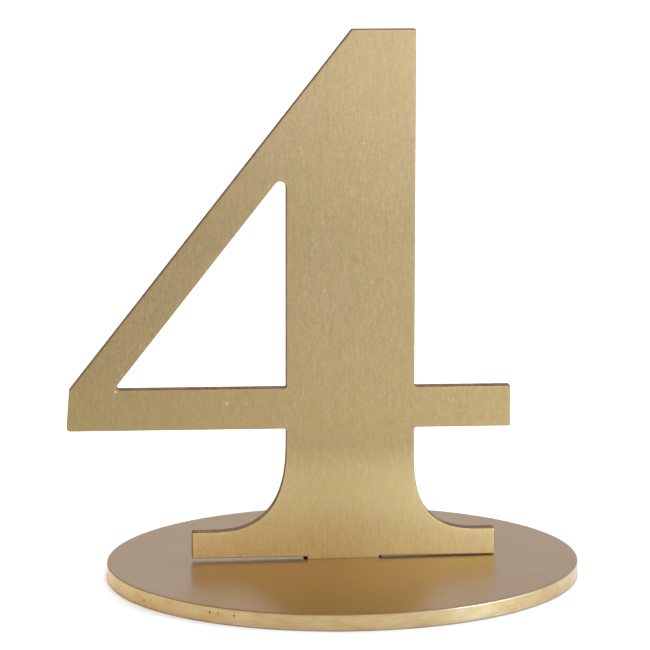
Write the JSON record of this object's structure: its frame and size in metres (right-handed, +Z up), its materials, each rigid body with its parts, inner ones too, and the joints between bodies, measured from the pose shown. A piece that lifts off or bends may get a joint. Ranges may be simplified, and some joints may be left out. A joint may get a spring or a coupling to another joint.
{
  "type": "table number holder",
  "caption": "Free-standing table number: a flat numeral cut from gold painted board, its tenon standing in a slot through a round gold painted base disc.",
  "frame": {"origin": "on the surface that the base disc stands on, at the middle of the whole object's bounding box; the disc's centre is 5.95 mm along +X from it, because the numeral's left tip reaches past the disc", "axes": "+Z up, +X to the reader's right along the numeral, -Y towards the reader"},
  "size_m": [0.1618, 0.15, 0.1736],
  "materials": {
    "number_board": "satin metallic gold paint over fine grained board, cut edges dark brown",
    "base_board": "satin metallic gold paint, smooth top, painted rim"
  },
  "bodies": {
    "base": {"base_disc": "base_board"},
    "number": {"number_panel": "number_board"}
  },
  "joints": [
    {"name": "number_lift", "type": "slide", "parent": "base", "child": "number", "axis": [0, 0, 1], "range_m": [0, 0.03]}
  ]
}
